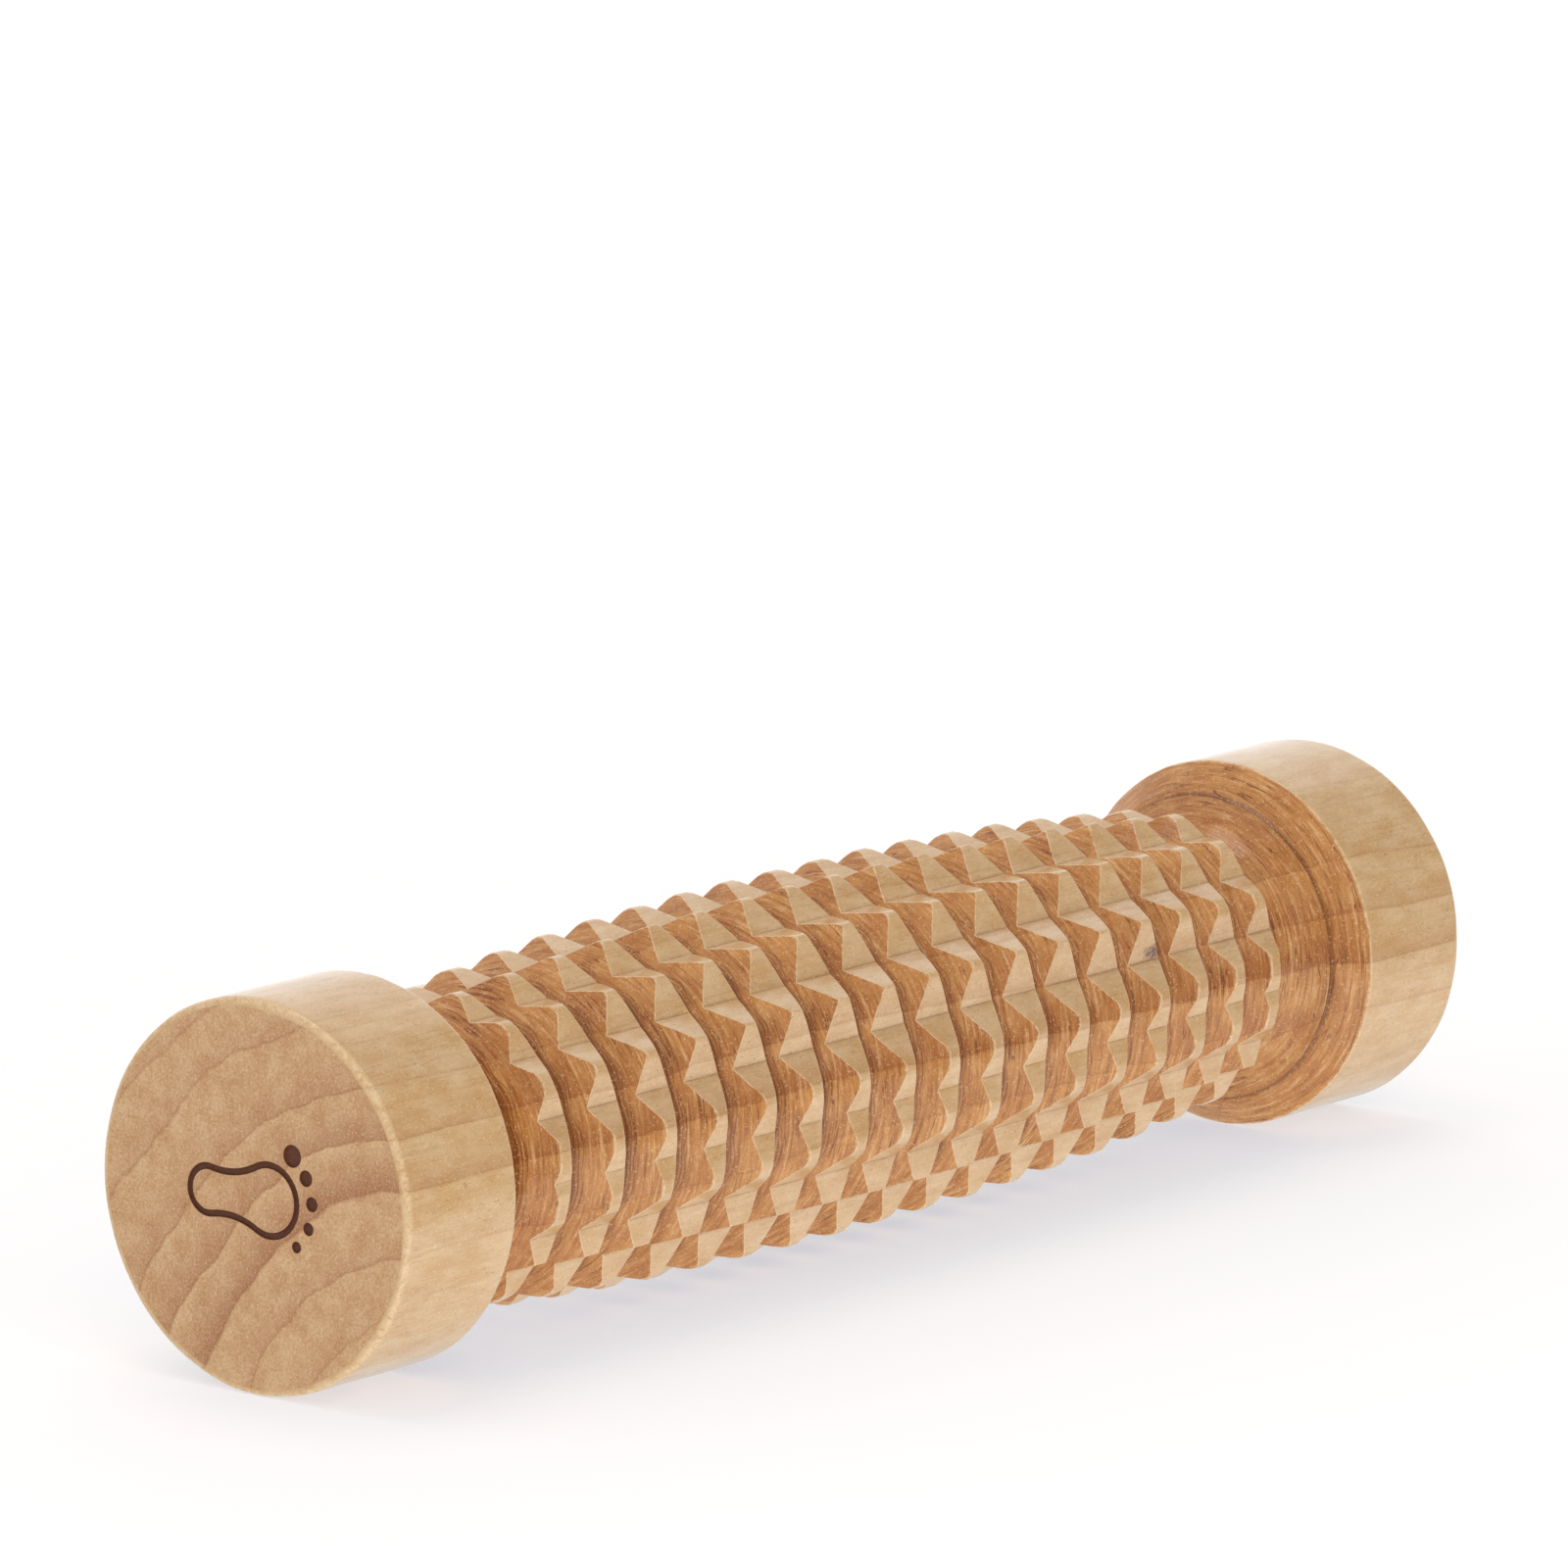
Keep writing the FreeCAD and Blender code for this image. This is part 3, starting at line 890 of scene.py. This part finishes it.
def wood_material():
    material, tree = new_material("lacquered_wood")
    place = wood_position(tree)
    turned = tree.kept_value("turned")
    end_grain = tree.kept_value("end_grain")
    wear_and_highlight = tree.kept_value("wear_and_highlight")
    shade_depth = tree.kept_value("shade_depth")
    crease = tree.kept_value("crease")
    rings = growth_rings(tree, place)
    fibres = tree.noise(tree.stretch(place, 0.25, 5.0), 1.0, 3.0, 0.6)
    streaks = tool_streaks(tree, place)
    grooves = tool_grooves(tree, place)

    wood = plain_wood(tree, place, rings, fibres)
    line = tree.maths("POWER", crease, 9.0)
    line = tree.maths("MULTIPLY", line, tree.range(fibres, 0.3, 0.6, 0.9, 0.4))
    surface = tree.mix(line, wood, colour(146, 92, 46))
    surface = tree.mix(end_grain, surface, end_wood(tree, place, rings))
    cut = turned_wood(tree, place, wood, rings, streaks, grooves, shade_depth)
    surface = tree.mix(turned, surface, cut)

    # Pale colour along the rounded edges: partly worn lacquer, partly a painted highlight along each edge.
    rub_and_glint = tree.noise(place, 1.3, 4.0, 0.8)
    rub_and_glint = tree.maths("MULTIPLY", wear_and_highlight, tree.range(rub_and_glint, 0.38, 0.58, 0.1, 0.95))
    surface = tree.mix(rub_and_glint, surface, colour(232, 200, 156))
    flecks = tree.noise(place, 3.0, 2.0, 0.7)
    surface = tree.mix(tree.range(flecks, 0.58, 0.7, 0.0, 0.48), surface, colour(242, 212, 168))
    pores = tree.noise(tree.stretch(place, 1.4, 4.0), 1.0, 1.0)
    surface = tree.mix(tree.range(pores, 0.64, 0.76, 0.0, 0.4), surface, colour(132, 82, 42))
    surface = tree.mix(knot(tree, place), surface, colour(92, 52, 34))
    tree.put(surface, tree.shader.inputs["Base Color"])

    peel = tree.noise(place, 1.2, 2.0)
    relief = tree.maths("MULTIPLY", peel, 0.07)
    relief = tree.maths("MULTIPLY_ADD", fibres, 0.01, relief)
    marks = tree.maths("MULTIPLY_ADD", streaks, -0.07, tree.maths("MULTIPLY", grooves, -0.04))
    relief = tree.maths("MULTIPLY_ADD", marks, turned, relief)
    bump = tree.node("ShaderNodeBump", {"Height": relief, "Strength": 1.0, "Distance": MM})
    tree.put(bump.outputs["Normal"], tree.shader.inputs["Normal"])
    tree.put(tree.range(peel, 0.3, 0.7, 0.3, 0.46), tree.shader.inputs["Roughness"])
    tree.shader.inputs["Specular IOR Level"].default_value = 0.0
    tree.shader.inputs["Coat Weight"].default_value = 1.0
    tree.shader.inputs["Coat Roughness"].default_value = 0.16
    return material


def burnt_material():
    material, tree = new_material("burnt_mark")
    place = wood_position(tree)
    char = tree.noise(place, 2.2, 3.0, 0.6)
    tree.put(tree.mix(char, colour(58, 25, 10), colour(112, 58, 27)), tree.shader.inputs["Base Color"])
    bump = tree.node("ShaderNodeBump", {"Height": tree.maths("MULTIPLY", char, 0.1),
                                        "Strength": 1.0, "Distance": MM})
    tree.put(bump.outputs["Normal"], tree.shader.inputs["Normal"])
    tree.shader.inputs["Roughness"].default_value = 0.7
    return material


# ---------------------------------------------------------------- stage, lights, camera

def make_floor():
    """A pale floor under the caps."""
    size = FLOOR_HALF_SIZE
    data = bpy.data.meshes.new("floor")
    level = cad_low.z
    corners = [(-size, -size, level), (size, -size, level), (size, size, level), (-size, size, level)]
    data.from_pydata(corners, [], [(0, 1, 2, 3)])
    floor = bpy.data.objects.new("floor", data)
    bpy.context.scene.collection.objects.link(floor)
    material, tree = new_material("pale_floor")
    tree.shader.inputs["Base Color"].default_value = FLOOR_COLOUR
    place = tree.node("ShaderNodeTexCoord").outputs["Object"]
    reach = tree.node("ShaderNodeVectorMath", {0: place}, operation="LENGTH").outputs["Value"]
    glow = tree.mix(tree.range(reach, *GLOW_REACH), NEAR_GLOW, FAR_GLOW)
    tree.put(glow, tree.shader.inputs["Emission Color"])
    tree.shader.inputs["Emission Strength"].default_value = 1.0
    tree.shader.inputs["Roughness"].default_value = 0.9
    tree.shader.inputs["Specular IOR Level"].default_value = 0.1
    data.materials.append(material)
    floor.visible_diffuse = False
    floor.visible_glossy = False


def make_light(name, place, size, power):
    """A square soft box that faces the roller."""
    light = bpy.data.lights.new(name, "AREA")
    light.shape = "SQUARE"
    light.size = size
    light.energy = power
    lamp = bpy.data.objects.new(name, light)
    lamp.location = place
    lamp.rotation_euler = (-Vector(place)).to_track_quat("-Z", "Y").to_euler()
    bpy.context.scene.collection.objects.link(lamp)
    return lamp


def make_backdrop():
    """A white wall all round, for the camera only, so that every view has a plain background."""
    data = bpy.data.meshes.new("backdrop")
    turns = np.linspace(0.0, 2 * math.pi, 65)[:-1]
    points = []
    radius = BACKDROP_RADIUS
    for level in (cad_low.z - 0.01, BACKDROP_HEIGHT):
        points += [(radius * math.cos(turn), radius * math.sin(turn), level) for turn in turns]
    count = len(turns)
    faces = [(i, (i + 1) % count, count + (i + 1) % count, count + i) for i in range(count)]
    data.from_pydata(points, [], faces)
    backdrop = bpy.data.objects.new("backdrop", data)
    bpy.context.scene.collection.objects.link(backdrop)
    material, tree = new_material("white_wall")
    tree.shader.inputs["Base Color"].default_value = (0.0, 0.0, 0.0, 1.0)
    tree.shader.inputs["Specular IOR Level"].default_value = 0.0
    tree.shader.inputs["Emission Color"].default_value = (1.0, 1.0, 1.0, 1.0)
    tree.shader.inputs["Emission Strength"].default_value = 1.0
    data.materials.append(material)
    backdrop.visible_diffuse = False
    backdrop.visible_glossy = False
    backdrop.visible_shadow = False


def make_lights():
    """A soft studio: white sides, a dim front, a bright wall behind and a light table below."""
    world = bpy.data.worlds.new("studio")
    bpy.context.scene.world = world
    tree = Tree(world, "Background")
    direction = tree.node("ShaderNodeTexCoord").outputs["Generated"]
    x, y, z = tree.node("ShaderNodeSeparateXYZ", {0: direction}).outputs
    right = tree.range(x, -0.1, 0.3)
    back = tree.range(y, 0.06, 0.13)
    behind = tree.range(right, 0.0, 1.0, SIDE_SKY, BACK_RIGHT_SKY)
    sides = tree.blend(back, FRONT_SKY, behind)
    sky = tree.blend(tree.range(z, 0.6, 0.75), sides, TOP_SKY)
    front = tree.range(y, 0.1, -0.5, 0.55, 1.0)
    table = tree.maths("MULTIPLY", front, LIGHT_TABLE)
    strength = tree.blend(tree.range(z, -0.12, -0.28), sky, table)
    tree.put(strength, tree.shader.inputs["Strength"])
    tree.shader.inputs["Color"].default_value = (1.0, 1.0, 1.0, 1.0)
    make_light("top_box", *TOP_BOX)
    fill = make_light("front_fill", *FRONT_FILL)
    fill.visible_glossy = False
    bpy.context.scene.view_settings.view_transform = "Standard"


def make_camera():
    azimuth = math.radians(CAMERA_AZIMUTH)
    elevation = math.radians(CAMERA_ELEVATION)
    back = Vector((
        math.sin(azimuth) * math.cos(elevation),
        -math.cos(azimuth) * math.cos(elevation),
        math.sin(elevation),
    ))
    right = (-back).cross(Vector((0, 0, 1))).normalized()
    up = right.cross(-back)
    frame_width = CAMERA_DISTANCE * CAMERA_SENSOR / CAMERA_LENS
    data = bpy.data.cameras.new("camera")
    data.lens = CAMERA_LENS
    data.sensor_width = CAMERA_SENSOR
    camera = bpy.data.objects.new("camera", data)
    camera.location = (
        back * CAMERA_DISTANCE
        - right * ROLLER_RIGHT * frame_width
        + up * ROLLER_DOWN * frame_width
    )
    camera.rotation_mode = "QUATERNION"
    camera.rotation_quaternion = (-back).to_track_quat("-Z", "Y")
    bpy.context.scene.collection.objects.link(camera)
    bpy.context.scene.camera = camera


# ---------------------------------------------------------------- the scene

roller = make_roller()
roller.data.materials.append(wood_material())
roller.data.materials.append(burnt_material())
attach(roller, "root")
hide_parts("massage_roller")
make_floor()
make_backdrop()
make_lights()
make_camera()
